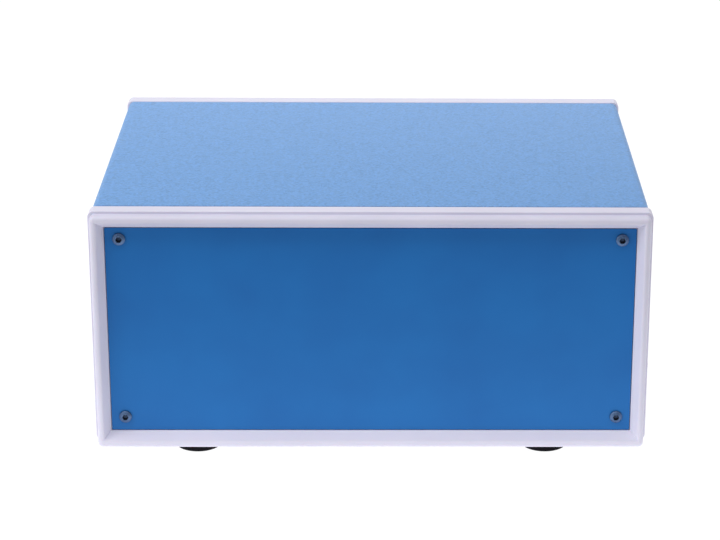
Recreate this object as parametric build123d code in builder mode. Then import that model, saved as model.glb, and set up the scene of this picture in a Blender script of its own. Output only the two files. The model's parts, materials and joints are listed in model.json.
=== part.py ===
"""Desktop electronics enclosure: two folded steel covers held between two moulded bezels.

Millimetres. The origin is the centre of the footprint on the table, +X to the right seen from the
front, +Y towards the rear, +Z up. The front panel faces -Y.
"""
from build123d import *
from math import atan2, cos, sin, tan
import os

# Overall envelope, measured over the bezel flanges
WIDTH = 250.0
DEPTH = 190.0
HEIGHT = 110.0
TABLE_GAP = 7.5                  # table to the lowest edge of the bezel nose

# Bezel: a nose at the outside, a slightly larger flange behind it, a spigot inside the covers
NOSE_DEPTH = 4.45
FLANGE_DEPTH = 7.45
SPIGOT_DEPTH = 6.0
NOSE_STEP_SIDE = 1.0             # flange stands proud of the nose at the sides
NOSE_STEP_TOP = 1.25             # and above it
NOSE_DROP = 2.0                  # nose hangs below the flange
NOSE_CORNER = 2.4
FLANGE_CORNER = 2.8
NOSE_EDGE = 1.9                  # rounding of the outer front edge
RIM_EDGE = 1.3                   # rounding between the rim and the reveal
RIM_CREASE = 0.1                 # radians left between that rounding and the rim
FLANGE_EDGE = 0.35
SPIGOT_WALL = 2.0
SPIGOT_CORNER = 1.6

# Panel opening, seen from outside: a sloping reveal runs from the rim down to the panel
BORDER_SIDE = 5.9                # nose side to the foot of the reveal
BORDER_TOP = 6.15
BORDER_LOW = 6.85
REVEAL_WIDTH = 3.2
PANEL_RECESS = 4.66              # rim to the face of the panel
PANEL_THICKNESS = 1.5
PANEL_GAP = 0.35                 # shadow gap around the panel
PANEL_CORNER = 0.6
LEDGE_WIDTH = 5.0
LEDGE_DEPTH = 2.0

# Panel screws and the bosses that take them
PANEL_SCREW_X = 111.5            # half the distance between the two columns
PANEL_SCREW_Z = 42.7             # half the distance between the two rows
PANEL_SCREW_RISE = 0.65          # pattern centre above the panel centre
BOSS_RADIUS = 3.9
BOSS_DEPTH = 9.5                 # behind the ledge
BOSS_FLOOR = 2.0                 # solid end of a blind bore
GUSSET = 1.6
GUSSET_DEPTH = 5.7
SCREW_CLEARANCE = 0.05           # radial, thread to its bore
PANEL_HOLE_CLEARANCE = 0.1       # radial, thread to the hole in a panel
FLOOR_HOLE_CLEARANCE = 0.2
WASHER_CLEARANCE = 0.15

# Covers of folded sheet
SHEET = 1.0
BEND = 3.0                       # outside radius
COVER_GAP = 0.8                  # cover end to flange
COVER_STEP_SIDE = 1.0            # flange stands proud of the cover
COVER_STEP_TOP = 0.1
COVER_STEP_LOW = 0.3
LAP_GAP = 0.1                    # between the overlapping side walls
TOP_COVER_EDGE_Z = 31.0          # lower edge of the top cover's side walls
BASE_WALL_HEIGHT = 45.0

# Cover screws, one near each end of each side
COVER_SCREW_Z = 39.5
COVER_SCREW_INSET = 22.0         # behind the outer face of the nose
COVER_NOTCH = 4.4

# Vents in the base
VENT_WIDTH = 3.0
SIDE_VENT_LENGTH = 12.0
SIDE_VENT_Z = 22.0
SIDE_VENT_PITCH = 8.0
SIDE_VENT_COUNT = 13
FLOOR_VENT_LENGTH = 40.0
FLOOR_VENT_PITCH = 8.0
FLOOR_VENT_COUNT = 9
FLOOR_VENT_X = 55.0

# Feet
FOOT_X = 80.0
FOOT_INSET = 23.0
FOOT_TOP_RADIUS = 11.0
FOOT_LOW_RADIUS = 10.75
FOOT_EDGE = 0.8
FOOT_RECESS_RADIUS = 5.2
FOOT_RECESS = 5.3
FOOT_BORE = 2.2

# Bezel screws, driven from beneath into lugs on the spigot
LUG_X = 50.0
LUG_INSET = 16.5
LUG_HEIGHT = 9.0
LUG_WIDTH = 9.0
LUG_DEPTH = 9.0                  # behind the flange
LUG_BORE = 7.8

# Metric fasteners: thread radius, head radius, head height
M3 = {"thread": 1.5, "head": 2.8, "height": 1.8}
M4 = {"thread": 2.0, "head": 4.0, "height": 3.1}
PANEL_SCREW_LENGTH = 10.0
BEZEL_SCREW_LENGTH = 8.0
COVER_SCREW_LENGTH = 8.0
FOOT_SCREW_LENGTH = 12.0
THREAD_CHAMFER = 0.5
HEAD_DOME = 0.6                  # share of a head's height that is rounded
HEX_KEY = 2.5                    # across flats
HEX_DEPTH = 1.5
HEX_MOUTH = 1.75                 # radius of the countersunk mouth of the hexagon
HEX_MOUTH_DEPTH = 0.4
CROSS_SPAN = 1.1                 # cross recess, as shares of the head's radius and height
CROSS_WIDTH = 0.26
CROSS_DEPTH = 0.62
CROSS_TAPER = 12.0
M4_NUT_FLATS = 7.0
M4_NUT_HEIGHT = 3.2
NUT_FACE = 3.4                   # radius of the flat left inside the turned corners
NUT_CORNER = 4.05                # corner radius of the hexagon, just beyond its points
NUT_CHAMFER = 0.45
WASHER_RADIUS = 4.5
WASHER_THICKNESS = 1.0
CLINCH_RADIUS = 3.95
CLINCH_HEIGHT = 2.2
CLINCH_PILOT = 2.7
FIT = 0.03                       # radial, pressed or clamped pieces that stay put

FRONT = -1
REAR = 1
LEFT = -1
RIGHT = 1
OVERCUT = 1.0                    # how far a cut runs past the face it starts from

# Heights above the table
NOSE_LOW = TABLE_GAP
FLANGE_LOW = NOSE_LOW + NOSE_DROP
FLANGE_TOP = FLANGE_LOW + HEIGHT
NOSE_TOP = FLANGE_TOP - NOSE_STEP_TOP
OPENING_LOW = NOSE_LOW + BORDER_LOW
OPENING_TOP = NOSE_TOP - BORDER_TOP
PANEL_Z = (OPENING_LOW + OPENING_TOP) / 2
COVER_TOP = FLANGE_TOP - COVER_STEP_TOP
FLOOR_LOW = FLANGE_LOW + COVER_STEP_LOW
FLOOR_TOP = FLOOR_LOW + SHEET
BASE_WALL_TOP = FLOOR_LOW + BASE_WALL_HEIGHT
SCREW_ROW_Z = PANEL_Z + PANEL_SCREW_RISE

# Half widths
NOSE_X = WIDTH / 2 - NOSE_STEP_SIDE
OPENING_X = NOSE_X - BORDER_SIDE
COVER_X = WIDTH / 2 - COVER_STEP_SIDE
BASE_X = COVER_X - SHEET - LAP_GAP
SPIGOT_X = BASE_X - SHEET - 2 * LAP_GAP

# Depths behind the outer face of a nose
FLANGE_BACK = NOSE_DEPTH + FLANGE_DEPTH
COVER_START = FLANGE_BACK + COVER_GAP
COVER_LENGTH = DEPTH - 2 * COVER_START
PANEL_BACK = PANEL_RECESS + PANEL_THICKNESS
LEDGE_BACK = PANEL_BACK + LEDGE_DEPTH
SPIGOT_BACK = FLANGE_BACK + SPIGOT_DEPTH
SPIGOT_LOW = FLOOR_TOP + LAP_GAP
SPIGOT_TOP = COVER_TOP - SHEET - LAP_GAP

os.makedirs("parts", exist_ok=True)


def face_plane(end, depth):
    """A plane parallel to the panels, depth inside the nose; local y is up, local z points inwards."""
    return Plane(origin=(0, end * (DEPTH / 2 - depth), 0), x_dir=(end, 0, 0), z_dir=(0, -end, 0))


def outward_plane(end, depth, x, z):
    """A plane at a point of the front or rear face whose normal points out of the case."""
    return Plane(origin=(x, end * (DEPTH / 2 - depth), z), x_dir=(-end, 0, 0), z_dir=(0, end, 0))


def side_plane(side, x, y, z):
    """A plane on the left or right side whose normal points out of the case."""
    return Plane(origin=(side * x, y, z), x_dir=(0, side, 0), z_dir=(side, 0, 0))


def downward_plane(x, y, z):
    """A plane under the case whose normal points to the table."""
    return Plane(origin=(x, y, z), x_dir=(1, 0, 0), z_dir=(0, 0, -1))


def upright_rectangle(half_width, low, top, radius=0.0, mode=Mode.ADD):
    """A rectangle between two heights, centred on the width, inside a sketch on a face plane."""
    with Locations((0, (low + top) / 2)):
        if radius > 0:
            RectangleRounded(2 * half_width, top - low, radius, mode=mode)
        else:
            Rectangle(2 * half_width, top - low, mode=mode)


def end_positions(inset):
    """The two Y positions at an inset from the front and the rear of the case."""
    return [end * (DEPTH / 2 - inset) for end in (FRONT, REAR)]


def save(part, name):
    """Label a finished piece and write it to its own file."""
    part.label = name
    export_step(part, f"parts/{name}.step")


# --- Bezels ---------------------------------------------------------------------------------------


def make_reveal(end):
    """The space over the sloping reveal: one profile swept round the opening with mitred corners."""
    slope = atan2(PANEL_RECESS, REVEAL_WIDTH)
    depth = RIM_EDGE * (cos(RIM_CREASE) - cos(slope))
    offset = REVEAL_WIDTH - depth / tan(slope)
    slope_end = (offset, depth)
    rim_start = (offset + RIM_EDGE * (sin(slope) - sin(RIM_CREASE)), 0)
    middle = (0, end * DEPTH / 2, OPENING_LOW)
    with BuildPart() as reveal:
        with BuildLine(face_plane(end, 0)):
            Polyline(
                (0, OPENING_LOW),
                (OPENING_X, OPENING_LOW),
                (OPENING_X, OPENING_TOP),
                (-OPENING_X, OPENING_TOP),
                (-OPENING_X, OPENING_LOW),
                close=True,
            )
        with BuildSketch(Plane(origin=middle, x_dir=(0, 0, -1), z_dir=(-end, 0, 0))):
            with BuildLine():
                RadiusArc(slope_end, rim_start, -RIM_EDGE)
                Polyline(
                    rim_start,
                    (rim_start[0], -OVERCUT),
                    (0, -OVERCUT),
                    (0, PANEL_RECESS),
                    slope_end,
                )
            make_face()
        sweep(transition=Transition.RIGHT)
    return reveal.part


def make_bezel(end):
    """A moulded frame: stepped outside, sloping reveal, ledge, screw bosses, spigot and lugs."""
    boss_places = [
        (side * PANEL_SCREW_X, SCREW_ROW_Z + row * PANEL_SCREW_Z)
        for side in (LEFT, RIGHT)
        for row in (-1, 1)
    ]
    inner_x = SPIGOT_X - SPIGOT_WALL
    inner_low = SPIGOT_LOW + SPIGOT_WALL
    inner_top = SPIGOT_TOP - SPIGOT_WALL
    reveal = make_reveal(end)
    with BuildPart() as flange:
        with BuildSketch(face_plane(end, NOSE_DEPTH)):
            upright_rectangle(WIDTH / 2, FLANGE_LOW, FLANGE_TOP, FLANGE_CORNER)
        extrude(amount=FLANGE_DEPTH)
        outer_faces = flange.faces().sort_by(Axis.Y)
        fillet(outer_faces[0].edges() + outer_faces[-1].edges(), radius=FLANGE_EDGE)

    with BuildPart() as bezel:
        with BuildSketch(face_plane(end, 0)):
            upright_rectangle(NOSE_X, NOSE_LOW, NOSE_TOP, NOSE_CORNER)
        extrude(amount=NOSE_DEPTH)
        outside = 0 if end == FRONT else -1
        fillet(bezel.faces().sort_by(Axis.Y)[outside].edges(), radius=NOSE_EDGE)

        add(flange.part)
        with BuildSketch(face_plane(end, FLANGE_BACK)):
            upright_rectangle(SPIGOT_X, SPIGOT_LOW, SPIGOT_TOP, SPIGOT_CORNER)
        extrude(amount=SPIGOT_DEPTH)

        # Hollow behind the ledge
        with BuildSketch(face_plane(end, LEDGE_BACK)):
            upright_rectangle(inner_x, inner_low, inner_top, SPIGOT_CORNER)
        extrude(amount=SPIGOT_BACK - LEDGE_BACK, mode=Mode.SUBTRACT)

        # Window through the ledge, then the pocket that holds the panel
        with BuildSketch(face_plane(end, 0)):
            upright_rectangle(
                OPENING_X - LEDGE_WIDTH, OPENING_LOW + LEDGE_WIDTH, OPENING_TOP - LEDGE_WIDTH
            )
        extrude(amount=LEDGE_BACK, mode=Mode.SUBTRACT)
        with BuildSketch(face_plane(end, 0)):
            upright_rectangle(OPENING_X, OPENING_LOW, OPENING_TOP)
        extrude(amount=PANEL_BACK, mode=Mode.SUBTRACT)

        add(reveal, mode=Mode.SUBTRACT)

        # Bosses with gussets to the side, floor and roof of the spigot
        with BuildSketch(face_plane(end, PANEL_BACK)):
            with Locations(*boss_places):
                Circle(BOSS_RADIUS)
        extrude(amount=LEDGE_DEPTH + BOSS_DEPTH)
        with BuildSketch(face_plane(end, LEDGE_BACK)):
            for x, z in boss_places:
                reach_x = inner_x - abs(x)
                with Locations((x + (reach_x / 2 if x > 0 else -reach_x / 2), z)):
                    Rectangle(reach_x, GUSSET)
                wall = inner_top if z > PANEL_Z else inner_low
                with Locations((x, (z + wall) / 2)):
                    Rectangle(GUSSET, abs(wall - z))
        extrude(amount=GUSSET_DEPTH)

        # Lugs over the floor of the base
        with BuildSketch(face_plane(end, LEDGE_BACK)):
            with Locations((-LUG_X, SPIGOT_LOW + LUG_HEIGHT / 2), (LUG_X, SPIGOT_LOW + LUG_HEIGHT / 2)):
                Rectangle(LUG_WIDTH, LUG_HEIGHT)
        extrude(amount=FLANGE_BACK + LUG_DEPTH - LEDGE_BACK)

        # Screw bores, all blind
        with BuildSketch(face_plane(end, PANEL_BACK)):
            with Locations(*boss_places):
                Circle(M3["thread"] + SCREW_CLEARANCE)
        extrude(amount=LEDGE_DEPTH + BOSS_DEPTH - BOSS_FLOOR, mode=Mode.SUBTRACT)
        with BuildSketch(Plane.XY.offset(SPIGOT_LOW)):
            with Locations(*[(side * LUG_X, end * (DEPTH / 2 - LUG_INSET)) for side in (LEFT, RIGHT)]):
                Circle(M3["thread"] + SCREW_CLEARANCE)
        extrude(amount=LUG_BORE, mode=Mode.SUBTRACT)
    return bezel.part


def make_panel(end):
    """A blank sheet panel with a clearance hole in each corner."""
    with BuildPart() as panel:
        with BuildSketch(face_plane(end, PANEL_RECESS)):
            upright_rectangle(
                OPENING_X - PANEL_GAP, OPENING_LOW + PANEL_GAP, OPENING_TOP - PANEL_GAP, PANEL_CORNER
            )
            with Locations((0, SCREW_ROW_Z)):
                with GridLocations(2 * PANEL_SCREW_X, 2 * PANEL_SCREW_Z, 2, 2):
                    Circle(M3["thread"] + PANEL_HOLE_CLEARANCE, mode=Mode.SUBTRACT)
        extrude(amount=PANEL_THICKNESS)
    return panel.part


save(make_bezel(FRONT), "front_bezel")
save(make_bezel(REAR), "rear_bezel")
save(make_panel(FRONT), "front_panel")
save(make_panel(REAR), "rear_panel")


# --- Covers ---------------------------------------------------------------------------------------

cover_screw_ys = end_positions(COVER_SCREW_INSET)
foot_places = [(side * FOOT_X, y) for side in (LEFT, RIGHT) for y in end_positions(FOOT_INSET)]
lug_places = [(side * LUG_X, y) for side in (LEFT, RIGHT) for y in end_positions(LUG_INSET)]

with BuildPart() as top_cover:
    with BuildSketch(face_plane(FRONT, COVER_START)):
        upright_rectangle(COVER_X, TOP_COVER_EDGE_Z - BEND, COVER_TOP, BEND)
        upright_rectangle(
            COVER_X - SHEET, TOP_COVER_EDGE_Z - BEND, COVER_TOP - SHEET, BEND - SHEET, mode=Mode.SUBTRACT
        )
        upright_rectangle(COVER_X, TOP_COVER_EDGE_Z - BEND, TOP_COVER_EDGE_Z, mode=Mode.SUBTRACT)
    extrude(amount=COVER_LENGTH)
    # Open notches let the cover lift off its loosened screws
    with BuildSketch(Plane.YZ.offset(-COVER_X - OVERCUT)):
        for y in cover_screw_ys:
            with Locations((y, COVER_SCREW_Z)):
                Circle(COVER_NOTCH / 2)
            with Locations((y, (TOP_COVER_EDGE_Z - OVERCUT + COVER_SCREW_Z) / 2)):
                Rectangle(COVER_NOTCH, COVER_SCREW_Z - TOP_COVER_EDGE_Z + OVERCUT)
    extrude(amount=2 * (COVER_X + OVERCUT), mode=Mode.SUBTRACT)
save(top_cover.part, "top_cover")

with BuildPart() as bottom_cover:
    with BuildSketch(face_plane(FRONT, COVER_START)):
        upright_rectangle(BASE_X, FLOOR_LOW, BASE_WALL_TOP + BEND, BEND)
        upright_rectangle(
            BASE_X - SHEET, FLOOR_TOP, BASE_WALL_TOP + BEND, BEND - SHEET, mode=Mode.SUBTRACT
        )
        upright_rectangle(BASE_X, BASE_WALL_TOP, BASE_WALL_TOP + BEND, mode=Mode.SUBTRACT)
    extrude(amount=COVER_LENGTH)
    with BuildSketch(Plane.YZ.offset(-BASE_X - OVERCUT)):
        with Locations((0, SIDE_VENT_Z)):
            with GridLocations(SIDE_VENT_PITCH, 0, SIDE_VENT_COUNT, 1):
                SlotOverall(SIDE_VENT_LENGTH, VENT_WIDTH, rotation=90)
        with Locations(*[(y, COVER_SCREW_Z) for y in cover_screw_ys]):
            Circle(CLINCH_PILOT + FIT)
    extrude(amount=2 * (BASE_X + OVERCUT), mode=Mode.SUBTRACT)
    with BuildSketch(Plane.XY.offset(FLOOR_LOW)):
        with Locations((-FLOOR_VENT_X, 0), (FLOOR_VENT_X, 0)):
            with GridLocations(0, FLOOR_VENT_PITCH, 1, FLOOR_VENT_COUNT):
                SlotOverall(FLOOR_VENT_LENGTH, VENT_WIDTH)
        with Locations(*foot_places):
            Circle(FOOT_BORE)
        with Locations(*lug_places):
            Circle(M3["thread"] + FLOOR_HOLE_CLEARANCE)
    extrude(amount=SHEET, mode=Mode.SUBTRACT)
save(bottom_cover.part, "bottom_cover")


# --- Fasteners ------------------------------------------------------------------------------------


def make_screw(size, length, hex_key=False):
    """One pan head screw: the head sits on the XY plane, the thread points down."""
    thread, head, height = size["thread"], size["head"], size["height"]
    dome = height * HEAD_DOME
    with BuildPart() as screw:
        with BuildSketch(Plane.XZ):
            with BuildLine():
                rim = (head, height - dome)
                crown = (0, height)
                RadiusArc(crown, rim, (head**2 + dome**2) / (2 * dome))
                Polyline(
                    rim,
                    (head, 0),
                    (thread, 0),
                    (thread, THREAD_CHAMFER - length),
                    (thread - THREAD_CHAMFER, -length),
                    (0, -length),
                    crown,
                )
            make_face()
        revolve(axis=Axis.Z)
        if hex_key:
            with BuildSketch(Plane.XY.offset(height)):
                RegularPolygon(HEX_KEY / 2, 6, major_radius=False)
            extrude(amount=-HEX_DEPTH, mode=Mode.SUBTRACT)
            with Locations((0, 0, height)):
                Cone(
                    HEX_MOUTH - HEX_MOUTH_DEPTH,
                    HEX_MOUTH,
                    HEX_MOUTH_DEPTH,
                    align=(Align.CENTER, Align.CENTER, Align.MAX),
                    mode=Mode.SUBTRACT,
                )
        else:
            with BuildSketch(Plane.XY.offset(height)):
                Rectangle(head * CROSS_SPAN, head * CROSS_WIDTH)
                Rectangle(head * CROSS_WIDTH, head * CROSS_SPAN)
            extrude(amount=-height * CROSS_DEPTH, taper=CROSS_TAPER, mode=Mode.SUBTRACT)
    return screw.part


def make_group(piece, seats):
    """Identical fasteners, one solid at each seat."""
    with BuildPart() as group:
        with Locations(*seats):
            add(piece)
    return group.part


panel_screw = make_screw(M3, PANEL_SCREW_LENGTH, hex_key=True)
bezel_screw = make_screw(M3, BEZEL_SCREW_LENGTH)
cover_screw = make_screw(M4, COVER_SCREW_LENGTH)
foot_screw = make_screw(M4, FOOT_SCREW_LENGTH)

for end, word in ((FRONT, "front"), (REAR, "rear")):
    panel_seats = [
        outward_plane(end, PANEL_RECESS, side * PANEL_SCREW_X, SCREW_ROW_Z + row * PANEL_SCREW_Z)
        for side in (LEFT, RIGHT)
        for row in (-1, 1)
    ]
    save(make_group(panel_screw, panel_seats), f"{word}_panel_screws")
    lug_y = end * (DEPTH / 2 - LUG_INSET)
    lug_seats = [downward_plane(side * LUG_X, lug_y, FLOOR_LOW) for side in (LEFT, RIGHT)]
    save(make_group(bezel_screw, lug_seats), f"{word}_bezel_screws")

with BuildPart() as clinch_nut:
    Cylinder(CLINCH_RADIUS, CLINCH_HEIGHT, align=(Align.CENTER, Align.CENTER, Align.MAX))
    Cylinder(CLINCH_PILOT, SHEET - FIT, align=(Align.CENTER, Align.CENTER, Align.MIN))
    Cylinder(M4["thread"] + SCREW_CLEARANCE, 2 * (CLINCH_HEIGHT + SHEET), mode=Mode.SUBTRACT)

for side, word in ((LEFT, "left"), (RIGHT, "right")):
    head_seats = [side_plane(side, COVER_X + SCREW_CLEARANCE, y, COVER_SCREW_Z) for y in cover_screw_ys]
    save(make_group(cover_screw, head_seats), f"cover_screws_{word}")
    nut_seats = [side_plane(side, BASE_X - SHEET, y, COVER_SCREW_Z) for y in cover_screw_ys]
    save(make_group(clinch_nut.part, nut_seats), f"clinch_nuts_{word}")

with BuildPart() as washer:
    Cylinder(WASHER_RADIUS, WASHER_THICKNESS, align=(Align.CENTER, Align.CENTER, Align.MIN))
    Cylinder(M4["thread"] + WASHER_CLEARANCE, 2 * (WASHER_THICKNESS + OVERCUT), mode=Mode.SUBTRACT)

with BuildPart() as nut:
    with BuildSketch():
        RegularPolygon(M4_NUT_FLATS / 2, 6, major_radius=False)
    extrude(amount=M4_NUT_HEIGHT)
    # Turned corners: a cone takes the points off the hexagon's upper face
    with BuildSketch(Plane.XZ):
        with BuildLine():
            Polyline(
                (0, 0),
                (NUT_CORNER, 0),
                (NUT_CORNER, M4_NUT_HEIGHT - NUT_CHAMFER),
                (NUT_FACE, M4_NUT_HEIGHT),
                (0, M4_NUT_HEIGHT),
                close=True,
            )
        make_face()
    revolve(axis=Axis.Z, mode=Mode.INTERSECT)
    with BuildSketch():
        Circle(M4["thread"] + SCREW_CLEARANCE)
    extrude(amount=M4_NUT_HEIGHT, mode=Mode.SUBTRACT)

washer_z = FOOT_RECESS - WASHER_THICKNESS
save(make_group(foot_screw, [downward_plane(x, y, washer_z) for x, y in foot_places]), "foot_screws")
save(make_group(washer.part, [Plane(origin=(x, y, washer_z)) for x, y in foot_places]), "foot_washers")
save(make_group(nut.part, [Plane(origin=(x, y, FLOOR_TOP)) for x, y in foot_places]), "foot_nuts")


# --- Feet -----------------------------------------------------------------------------------------


def make_foot(x, y):
    """A round tapered foot with a recess that hides its screw."""
    with BuildPart() as foot:
        with BuildSketch(Plane.XY):
            with Locations((x, y)):
                Circle(FOOT_LOW_RADIUS)
        with BuildSketch(Plane.XY.offset(FLOOR_LOW)):
            with Locations((x, y)):
                Circle(FOOT_TOP_RADIUS)
        loft()
        fillet(foot.edges().group_by(Axis.Z)[0], radius=FOOT_EDGE)
        with BuildSketch(Plane.XY):
            with Locations((x, y)):
                Circle(FOOT_RECESS_RADIUS)
        extrude(amount=FOOT_RECESS, mode=Mode.SUBTRACT)
        with BuildSketch(Plane.XY):
            with Locations((x, y)):
                Circle(FOOT_BORE)
        extrude(amount=FLOOR_LOW, mode=Mode.SUBTRACT)
    return foot.part


for end, end_word in ((FRONT, "front"), (REAR, "rear")):
    for side, side_word in ((LEFT, "left"), (RIGHT, "right")):
        foot_part = make_foot(side * FOOT_X, end * (DEPTH / 2 - FOOT_INSET))
        save(foot_part, f"foot_{end_word}_{side_word}")
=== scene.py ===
"""Looks for a desktop electronics enclosure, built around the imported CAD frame. Metres throughout."""
import json
import math

import bpy
from mathutils import Matrix, Quaternion, Vector


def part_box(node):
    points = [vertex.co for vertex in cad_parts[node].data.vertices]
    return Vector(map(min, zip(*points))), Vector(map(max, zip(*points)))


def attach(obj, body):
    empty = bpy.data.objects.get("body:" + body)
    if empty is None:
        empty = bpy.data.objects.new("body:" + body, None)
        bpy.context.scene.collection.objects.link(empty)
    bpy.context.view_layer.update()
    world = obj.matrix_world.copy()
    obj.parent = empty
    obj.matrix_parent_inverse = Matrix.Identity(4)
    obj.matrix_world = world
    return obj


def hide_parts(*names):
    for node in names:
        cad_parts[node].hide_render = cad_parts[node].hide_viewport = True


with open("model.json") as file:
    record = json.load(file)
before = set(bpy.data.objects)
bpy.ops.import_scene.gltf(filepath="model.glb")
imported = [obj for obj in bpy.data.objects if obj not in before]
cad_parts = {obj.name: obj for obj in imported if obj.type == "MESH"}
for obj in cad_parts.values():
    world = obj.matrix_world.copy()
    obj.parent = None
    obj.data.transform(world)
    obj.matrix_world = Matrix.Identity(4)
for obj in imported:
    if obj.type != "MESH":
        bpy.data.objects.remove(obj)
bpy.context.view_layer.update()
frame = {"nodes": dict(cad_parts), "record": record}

MM = 0.001
scene = bpy.context.scene


# --- Node helpers ---------------------------------------------------------------------------------


class Finish:
    """A material under construction: a principled shader and short ways to feed it."""

    def __init__(self, name, **values):
        self.material = bpy.data.materials.new(name)
        self.material.use_nodes = True
        self.tree = self.material.node_tree
        self.shader = self.tree.nodes["Principled BSDF"]
        self.place = self.add("ShaderNodeTexCoord").outputs["Object"]
        self.set(**values)

    def add(self, kind, **properties):
        """A new node with the given properties."""
        made = self.tree.nodes.new(kind)
        for key, value in properties.items():
            setattr(made, key, value)
        return made

    def feed(self, target, source):
        """Fills an input from another node's output or with a plain value."""
        if isinstance(source, bpy.types.NodeSocket):
            self.tree.links.new(source, target)
        else:
            target.default_value = source

    def noise(self, size, detail=2.0, roughness=0.5):
        """Soft random value whose features are about size metres across."""
        made = self.add("ShaderNodeTexNoise")
        self.feed(made.inputs["Vector"], self.place)
        made.inputs["Scale"].default_value = 1.0 / size
        made.inputs["Detail"].default_value = detail
        made.inputs["Roughness"].default_value = roughness
        return made.outputs["Fac"]

    def cells(self, size):
        """Distance to the nearest point of a random scatter about size metres apart."""
        made = self.add("ShaderNodeTexVoronoi", feature="SMOOTH_F1")
        self.feed(made.inputs["Vector"], self.place)
        made.inputs["Scale"].default_value = 1.0 / size
        made.inputs["Smoothness"].default_value = 1.0
        return made.outputs["Distance"]

    def ramp(self, value, span, out_low, out_high):
        """Maps the span (low, high) to out_low..out_high, clamped."""
        made = self.add("ShaderNodeMapRange")
        self.feed(made.inputs["Value"], value)
        self.feed(made.inputs["From Min"], span[0])
        self.feed(made.inputs["From Max"], span[1])
        self.feed(made.inputs["To Min"], out_low)
        self.feed(made.inputs["To Max"], out_high)
        return made.outputs["Result"]

    def calc(self, operation, first, second=0.0):
        """One step of arithmetic."""
        made = self.add("ShaderNodeMath", operation=operation)
        self.feed(made.inputs[0], first)
        self.feed(made.inputs[1], second)
        return made.outputs[0]

    def mix(self, share, first, second):
        """A blend of two colours."""
        made = self.add("ShaderNodeMix", data_type="RGBA")
        self.feed(made.inputs[0], share)
        self.feed(made.inputs[6], first)
        self.feed(made.inputs[7], second)
        return made.outputs[2]

    def tint(self, value, span, first, second, most=1.0):
        """First colour where value is low, second where it is high, or no more than most of it."""
        return self.mix(self.ramp(value, span, 0.0, most), first, second)

    def relief(self, *layers):
        """Bump from (height, depth in metres) layers, the last one on top."""
        normal = None
        for height, depth in layers:
            made = self.add("ShaderNodeBump")
            made.inputs["Distance"].default_value = depth
            self.feed(made.inputs["Height"], height)
            if normal is not None:
                self.feed(made.inputs["Normal"], normal)
            normal = made.outputs["Normal"]
        self.feed(self.shader.inputs["Normal"], normal)

    def set(self, **sources):
        """Fills the shader's inputs, named with _ for each space. Gives back the material."""
        for key, source in sources.items():
            self.feed(self.shader.inputs[key.replace("_", " ")], source)
        return self.material


def rgb(red, green, blue):
    return (red, green, blue, 1.0)


# --- Materials ------------------------------------------------------------------------------------

# Input spans for ramps, most of them parts of a noise's 0 to 1 output.
FULL = (0.0, 1.0)
WIDE = (0.3, 0.7)
MIDDLE = (0.35, 0.65)
FLECK_SPAN = (0.36, 0.64)
MOTTLE_SPAN = (0.38, 0.62)
BLOOM_SPAN = (0.35, 0.7)

SHADE_PROBE_REACH = 1.6 * MM         # how far the occlusion probe reaches when painting shade into a screw's sheltered parts
PAINTED_SHADE_SPAN = (0.50, 0.95)      # openness at which the plate is all painted shade and at which it shows its own colour
SHADE_PROBE_SAMPLES = 4


def make_cover_paint():
    """Textured powder coat: a fine orange peel with lighter and darker flecks."""
    paint = Finish("cover_paint", IOR=1.5, Specular_IOR_Level=1.0)
    fleck = paint.noise(1.1 * MM, roughness=0.7)
    mottle = paint.noise(3.2 * MM, roughness=0.6)
    drift = paint.noise(40 * MM, detail=1.0)
    body = paint.tint(fleck, FLECK_SPAN, rgb(0.047, 0.221, 0.536), rgb(0.141, 0.380, 0.789))
    body = paint.tint(mottle, MOTTLE_SPAN, body, rgb(0.136, 0.362, 0.737), most=0.35)
    body = paint.tint(drift, WIDE, body, rgb(0.121, 0.336, 0.700), most=0.10)
    peel = paint.cells(1.4 * MM)
    paint.relief((peel, 0.16 * MM), (fleck, 0.08 * MM))
    return paint.set(Base_Color=body, Roughness=paint.ramp(fleck, WIDE, 0.42, 0.58))


def make_panel_paint():
    """Smooth baked paint with a faint long-wave orange peel."""
    paint = Finish("panel_paint", IOR=1.5, Metallic=0.08, Specular_IOR_Level=0.25)
    fine = paint.noise(0.7 * MM)
    drift = paint.noise(30 * MM)
    body = paint.tint(drift, WIDE, rgb(0.0095, 0.141, 0.445), rgb(0.0105, 0.158, 0.480))
    wave = paint.noise(5 * MM, detail=1.0)
    paint.relief((wave, 0.03 * MM), (fine, 0.010 * MM))
    return paint.set(Base_Color=body, Roughness=paint.ramp(fine, WIDE, 0.36, 0.46))


def make_bezel_plastic():
    """Moulded plastic: fine spark-eroded grain, a trace of light inside the material."""
    plastic = Finish("bezel_plastic", IOR=1.5, Subsurface_Weight=0.05, Subsurface_Scale=1.0 * MM)
    grain = plastic.noise(0.35 * MM, roughness=0.6)
    drift = plastic.noise(25 * MM)
    body = plastic.tint(drift, WIDE, rgb(0.71, 0.69, 0.82), rgb(0.74, 0.72, 0.85))
    plastic.relief((grain, 0.02 * MM))
    return plastic.set(Base_Color=body, Roughness=plastic.ramp(grain, WIDE, 0.40, 0.52))


def make_zinc():
    """Zinc plated steel with a cloudy finish and tiny handling marks."""
    metal = Finish("zinc_steel", Metallic=1.0)
    cloud = metal.noise(1.5 * MM, detail=3.0)
    fine = metal.noise(0.15 * MM)
    body = metal.tint(cloud, MIDDLE, rgb(0.62, 0.63, 0.66), rgb(0.527, 0.5355, 0.561))
    metal.relief((fine, 0.004 * MM))
    return metal.set(Base_Color=body, Roughness=metal.ramp(cloud, WIDE, 0.28, 0.42))


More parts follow.
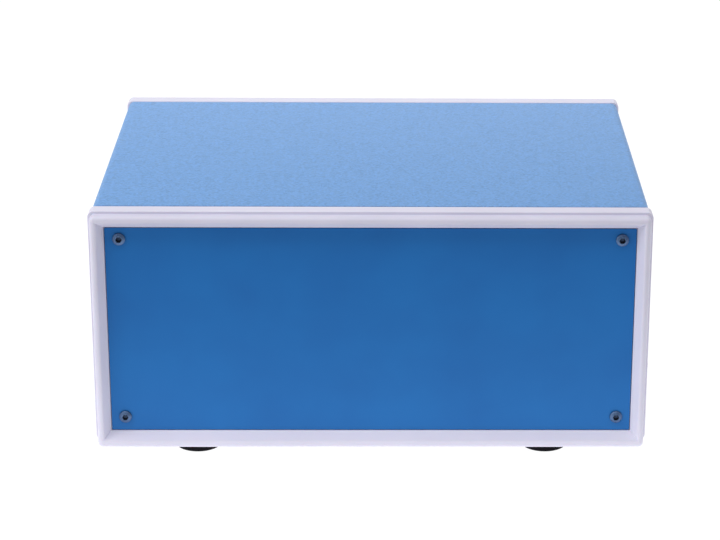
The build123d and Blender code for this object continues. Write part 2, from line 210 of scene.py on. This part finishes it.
def make_dark_plate():
    """Dark blue-tinted zinc plate, satin on the crown. The blue tint is partly painted reflection of the
    blue panel, and sheltered corners and the socket are darkened with painted shade.
    """
    metal = Finish("screw_metal", Metallic=1.0)
    cloud = metal.noise(0.8 * MM, detail=3.0)
    fine = metal.noise(0.12 * MM)
    # The plate's blue tint is partly painted reflection of the blue panel.
    plate = metal.tint(cloud, MIDDLE, rgb(0.100, 0.170, 0.305), rgb(0.130, 0.205, 0.355))
    # Painted shade: an occlusion probe darkens the socket and other sheltered parts to near black.
    shade_probe = metal.add("ShaderNodeAmbientOcclusion", samples=SHADE_PROBE_SAMPLES)
    shade_probe.inputs["Distance"].default_value = SHADE_PROBE_REACH
    unshaded_share = metal.ramp(shade_probe.outputs["AO"], PAINTED_SHADE_SPAN, 0.0, 1.0)
    body = metal.mix(unshaded_share, rgb(0.026, 0.024, 0.034), plate)
    metal.relief((fine, 0.006 * MM))
    return metal.set(Base_Color=body, Roughness=metal.ramp(unshaded_share, FULL, 0.70, 0.48))


def make_rubber():
    """Matt black rubber with a faint uneven bloom."""
    rubber = Finish("foot_rubber", IOR=1.4, Specular_IOR_Level=0.15)
    bloom = rubber.noise(4 * MM, detail=3.0)
    fine = rubber.noise(0.3 * MM)
    body = rubber.tint(bloom, BLOOM_SPAN, rgb(0.0035, 0.0030, 0.0050), rgb(0.0080, 0.0075, 0.0100))
    rubber.relief((fine, 0.02 * MM))
    return rubber.set(Base_Color=body, Roughness=rubber.ramp(bloom, WIDE, 0.60, 0.75))


SLOTS = {
    "cover_paint": make_cover_paint(),
    "panel_paint": make_panel_paint(),
    "bezel_plastic": make_bezel_plastic(),
    "screw_metal": make_dark_plate(),
    "zinc_steel": make_zinc(),
    "foot_rubber": make_rubber(),
}
SLOT_OF = {entry["node"]: entry["material_slot"] for entry in frame["record"]["subparts"]}

PANEL_EDGE = 0.20 * MM           # rounding of a painted panel's cut edges
PANEL_EDGE_STEPS = 2
PANEL_CORNER = math.radians(40)  # a fold sharper than this is rounded
WELD_REACH = 0.001 * MM          # joins the frame's split vertices, so that its edges can be rounded


def soften_edges(node):
    """Round the cut edges of a painted panel."""
    weld = node.modifiers.new("weld", "WELD")
    weld.merge_threshold = WELD_REACH
    bevel = node.modifiers.new("soft_edges", "BEVEL")
    bevel.width = PANEL_EDGE
    bevel.segments = PANEL_EDGE_STEPS
    bevel.limit_method = "ANGLE"
    bevel.angle_limit = PANEL_CORNER
    bevel.use_clamp_overlap = True
    node.modifiers.new("normals", "WEIGHTED_NORMAL")


for name, node in frame["nodes"].items():
    node.data.materials.clear()
    node.data.materials.append(SLOTS[SLOT_OF[name]])
    if SLOT_OF[name] == "panel_paint":
        soften_edges(node)


# --- Panel screws ---------------------------------------------------------------------------------

TURN = 48                        # steps round a screw, a multiple of six for the hexagon
HEAD_RADIUS = 2.8 * MM           # head radius and height are those of the CAD screws
HEAD_HEIGHT = 1.8 * MM
HEAD_SIDE = 0.72 * MM            # straight part of the head under its dome
HEAD_ROUNDING = 0.12 * MM        # at the top and foot of the straight part
DOME_STEPS = 10
SOCKET_FLATS = 2.5 * MM          # across the hexagon
SOCKET_DEPTH = 1.55 * MM
SOCKET_MOUTH = 1.58 * MM         # radius of the round opening above the hexagon
SOCKET_CHAMFER = 0.14 * MM       # how far below that opening the hexagon starts
SOCKET_LIP = 0.08 * MM           # width and drop of the small edge round the opening
SOCKET_LIP_DROP = 0.06 * MM
DIMPLE_SHARE = 0.55              # width of the dimple in the socket's floor, as a share of the hexagon
DIMPLE_DEPTH = 0.1 * MM
SHANK_PLAIN = 0.35 * MM          # plain shank between head and thread
THREAD_RADIUS = 1.48 * MM
THREAD_PITCH = 0.5 * MM
THREAD_DEPTH = 0.27 * MM
THREAD_STEPS = 6                 # rings in one turn of the thread
THREAD_SLOPE = 1.25              # above 1, the root of the groove is flat
TIP_TURNS = 1.2                  # turns over which the tip narrows
TIP_SHARE = 0.72                 # radius at the very tip, as a share of the thread's
SHARP_ANGLE = math.radians(38)   # a fold sharper than this is shaded as an edge


def hexagon_radius(angle):
    """Distance from the centre of the socket to its wall in one direction."""
    sector = math.pi / 3
    return SOCKET_FLATS / 2 / math.cos((angle % sector) - sector / 2)


def dome_height(radius):
    """Height of the crown above the panel at a distance from the screw's axis."""
    rise = HEAD_HEIGHT - HEAD_SIDE
    sphere = (HEAD_RADIUS ** 2 + rise ** 2) / (2 * rise)
    return HEAD_HEIGHT - sphere + math.sqrt(sphere ** 2 - radius ** 2)


def thread_cut(depth, angle):
    """How deep the thread's groove is cut, 0 at a crest and 1 at a root."""
    phase = (depth / THREAD_PITCH - angle / math.tau) % 1.0
    return min(1.0, THREAD_SLOPE * abs(2 * phase - 1))


def thread_ring(depth, length):
    """One ring of the threaded shank at a depth below the head."""
    tip = min(1.0, (length - depth) / (TIP_TURNS * THREAD_PITCH))
    narrowing = TIP_SHARE + (1 - TIP_SHARE) * tip
    return lambda angle: ((THREAD_RADIUS - THREAD_DEPTH * thread_cut(depth, angle)) * narrowing, -depth)


def dome_ring(radius):
    """One ring of the crown."""
    height = dome_height(radius)
    return lambda angle: (radius, height)


def screw_rings(length):
    """Rings of a domed screw from the floor of its socket, over the head, down to its tip.

    Each ring is a function that gives radius and height in a direction.
    """
    mouth = dome_height(SOCKET_MOUTH)
    socket_floor = HEAD_HEIGHT - SOCKET_DEPTH
    crown = HEAD_RADIUS - HEAD_ROUNDING
    rings = [
        lambda angle: (hexagon_radius(angle) * DIMPLE_SHARE, socket_floor - DIMPLE_DEPTH),
        lambda angle: (hexagon_radius(angle), socket_floor),
        lambda angle: (hexagon_radius(angle), mouth - SOCKET_CHAMFER),
        lambda angle: (SOCKET_MOUTH - SOCKET_LIP, mouth - SOCKET_LIP_DROP),
    ]
    for step in range(DOME_STEPS + 1):
        rings.append(dome_ring(SOCKET_MOUTH + (crown - SOCKET_MOUTH) * step / DOME_STEPS))
    rings += [
        lambda angle: (HEAD_RADIUS, dome_height(crown) - HEAD_ROUNDING),
        lambda angle: (HEAD_RADIUS, HEAD_ROUNDING),
        lambda angle: (crown, 0.0),
        lambda angle: (THREAD_RADIUS, 0.0),
        lambda angle: (THREAD_RADIUS, -SHANK_PLAIN),
    ]
    threaded = length - SHANK_PLAIN
    count = int(threaded / THREAD_PITCH * THREAD_STEPS)
    for step in range(1, count + 1):
        rings.append(thread_ring(SHANK_PLAIN + threaded * step / count, length))
    return rings


def screw_mesh(name, seats, length):
    """One mesh of screws; a seat is the matrix that puts the head on its panel."""
    points = []
    faces = []
    rings = screw_rings(length)
    angles = [math.tau * step / TURN for step in range(TURN)]
    for seat in seats:
        start = len(points)
        for ring in rings:
            for angle in angles:
                radius, height = ring(angle)
                points.append(seat @ Vector((radius * math.cos(angle), radius * math.sin(angle), height)))
        for row in range(len(rings) - 1):
            for column in range(TURN):
                here = start + row * TURN
                after = (column + 1) % TURN
                faces.append((here + column, here + TURN + column, here + TURN + after, here + after))
        last = start + (len(rings) - 1) * TURN
        faces.append(tuple(start + column for column in range(TURN)))
        faces.append(tuple(last + column for column in reversed(range(TURN))))
    mesh = bpy.data.meshes.new(name)
    mesh.from_pydata(points, [], faces)
    mesh.validate()
    mesh.polygons.foreach_set("use_smooth", [True] * len(mesh.polygons))
    mesh.set_sharp_from_angle(angle=SHARP_ANGLE)
    return mesh


def make_panel_screws(end, outward):
    """Threaded screws in place of the plain CAD ones at one end of the case.

    outward is -1 where the panel faces -Y and 1 where it faces +Y.
    """
    node = end + "_panel_screws"
    low, high = (Vector(corner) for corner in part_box(node))
    panel_low, panel_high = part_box(end + "_panel")
    face = panel_low[1] if outward < 0 else panel_high[1]
    length = (high.y - face) if outward < 0 else (face - low.y)
    turn = Matrix.Rotation(-outward * math.pi / 2, 4, "X")
    seats = [
        Matrix.Translation((x, face, z)) @ turn
        for x in (low.x + HEAD_RADIUS, high.x - HEAD_RADIUS)
        for z in (low.z + HEAD_RADIUS, high.z - HEAD_RADIUS)
    ]
    piece = bpy.data.objects.new(end + "_screws_threaded", screw_mesh(node + "_mesh", seats, length))
    scene.collection.objects.link(piece)
    piece.data.materials.append(SLOTS["screw_metal"])
    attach(piece, end + "_panel_set")
    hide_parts(node)


make_panel_screws("front", -1)
make_panel_screws("rear", 1)


# --- Stage, light and camera ----------------------------------------------------------------------

FLOOR_HALF = 6.0
FLOOR_WHITE = 1.12               # strength of the floor's own light as the camera sees it
FLOOR_BOUNCE = 2.0               # strength of that light as it falls on the object
FLOOR_GLOW = 0.88                # share of that light in what the camera sees, the rest is paper
FLOOR_THROW = 0.5                # share of that light in what falls on the object
GLOW_FADE = (-0.42, -0.12)       # where along Y the light on the object starts and where it is full
UNDER_PAINTED_SHADE = 0.08               # what is left of the floor's light deep under the case, a painted shadow
UNDER_X = (0.095, 0.125)         # distances from the middle where it is shaded and where it is full
UNDER_Y = (0.040, 0.070)

CENTRE = (0, 0, 0.06)
# Lamps: name, place, aim, width, height, power in watts.
LIGHTS = (
    ("top", (0.0, 0.10, 1.30), CENTRE, 1.4, 1.0, 1.8),
    ("top_graze", (0.0, -0.50, 1.30), CENTRE, 1.2, 0.4, 5.2),
    ("left_graze", (-1.5, -0.48, 0.42), CENTRE, 0.5, 0.7, 1.65),
    ("left_mid", (-1.35, -0.95, 0.60), CENTRE, 0.6, 0.6, 1.16),
    ("left_top", (-0.9, -0.40, 1.10), CENTRE, 0.5, 0.5, 5.4),
    ("rear_close", (0.0, 0.28, 0.21), (0, 0.09, 0.11), 0.8, 0.12, 0.36),
)
SKY_COLOUR = (0.95, 0.96, 1.0, 1.0)
SKY_STRENGTH = 0.36

CAMERA_PLACE = (0.0069, -1.0957, 0.4614)
CAMERA_PITCH = 0.3518            # radians, looking down
CAMERA_YAW = 0.0256              # radians, towards the right
CAMERA_ROLL = 0.0106
CAMERA_SENSOR = 36.0             # millimetres, as is the lens
CAMERA_LENS = 120.3
CAMERA_SHIFT = -0.1175           # share of the picture's width


def make_floor_paper():
    """Pale backdrop paper that glows with its own light: almost white to the camera, with a painted
    shadow under the case and a glow on the case that fades out in front of it; clear from below.
    """
    paper = Finish("floor", Roughness=0.9)
    tone = paper.noise(0.5, detail=1.0)
    paper.set(Base_Color=paper.mix(tone, rgb(0.86, 0.86, 0.87), rgb(0.88, 0.88, 0.89)))
    direct = paper.add("ShaderNodeLightPath").outputs["Is Camera Ray"]
    spot = paper.add("ShaderNodeSeparateXYZ")
    paper.feed(spot.inputs[0], paper.place)
    # Painted light: the floor's own glow that falls on the case, fading out towards the front.
    painted_glow = paper.ramp(spot.outputs["Y"], GLOW_FADE, 0.0, FLOOR_BOUNCE)
    # Painted shadow: the floor's light is turned down under the case's footprint.
    beside = paper.ramp(paper.calc("ABSOLUTE", spot.outputs["X"]), UNDER_X, UNDER_PAINTED_SHADE, 1.0)
    beyond = paper.ramp(paper.calc("ABSOLUTE", spot.outputs["Y"]), UNDER_Y, UNDER_PAINTED_SHADE, 1.0)
    outside_painted_shadow = paper.calc("MAXIMUM", beside, beyond)
    glow = paper.add("ShaderNodeEmission")
    strength = paper.ramp(direct, FULL, painted_glow, FLOOR_WHITE)
    paper.feed(glow.inputs["Strength"], paper.calc("MULTIPLY", strength, outside_painted_shadow))
    share = paper.ramp(direct, FULL, FLOOR_THROW, FLOOR_GLOW)
    blend = paper.add("ShaderNodeMixShader")
    paper.feed(blend.inputs[0], share)
    paper.feed(blend.inputs[1], paper.shader.outputs[0])
    paper.feed(blend.inputs[2], glow.outputs[0])
    sides = paper.add("ShaderNodeMixShader")
    paper.feed(sides.inputs[0], paper.add("ShaderNodeNewGeometry").outputs["Backfacing"])
    paper.feed(sides.inputs[1], blend.outputs[0])
    paper.feed(sides.inputs[2], paper.add("ShaderNodeBsdfTransparent").outputs[0])
    paper.feed(paper.tree.nodes["Material Output"].inputs["Surface"], sides.outputs[0])
    return paper.material


def make_floor():
    """A wide pale floor."""
    mesh = bpy.data.meshes.new("floor")
    half = FLOOR_HALF
    corners = [(-half, -half, 0), (half, -half, 0), (half, half, 0), (-half, half, 0)]
    mesh.from_pydata(corners, [], [(0, 1, 2, 3)])
    floor = bpy.data.objects.new("floor", mesh)
    scene.collection.objects.link(floor)
    mesh.materials.append(make_floor_paper())


def make_light(name, place, aim, width, height, power):
    """A soft rectangular lamp at place, aimed at a point and hidden from the camera."""
    data = bpy.data.lights.new(name, "AREA")
    data.shape = "RECTANGLE"
    data.size = width
    data.size_y = height
    data.energy = power
    lamp = bpy.data.objects.new(name, data)
    scene.collection.objects.link(lamp)
    lamp.visible_camera = False
    lamp.location = place
    lamp.rotation_mode = "QUATERNION"
    lamp.rotation_quaternion = (Vector(aim) - Vector(place)).to_track_quat("-Z", "Y")


def make_sky():
    """Even light from all round."""
    world = bpy.data.worlds.new("studio")
    world.use_nodes = True
    background = world.node_tree.nodes["Background"]
    background.inputs["Color"].default_value = SKY_COLOUR
    background.inputs["Strength"].default_value = SKY_STRENGTH
    scene.world = world


def make_camera():
    """A long lens, a little above the case and almost square on to its front."""
    data = bpy.data.cameras.new("camera")
    data.sensor_width = CAMERA_SENSOR
    data.lens = CAMERA_LENS
    data.shift_x = CAMERA_SHIFT
    camera = bpy.data.objects.new("camera", data)
    scene.collection.objects.link(camera)
    level = Quaternion((1, 0, 0), math.pi / 2 - CAMERA_PITCH)
    turn = Quaternion((0, 0, 1), -CAMERA_YAW) @ level
    camera.rotation_mode = "QUATERNION"
    camera.rotation_quaternion = turn @ Quaternion((0, 0, 1), CAMERA_ROLL)
    camera.location = CAMERA_PLACE
    scene.camera = camera


make_floor()
for light in LIGHTS:
    make_light(*light)
make_sky()
scene.view_settings.view_transform = "Standard"
make_camera()
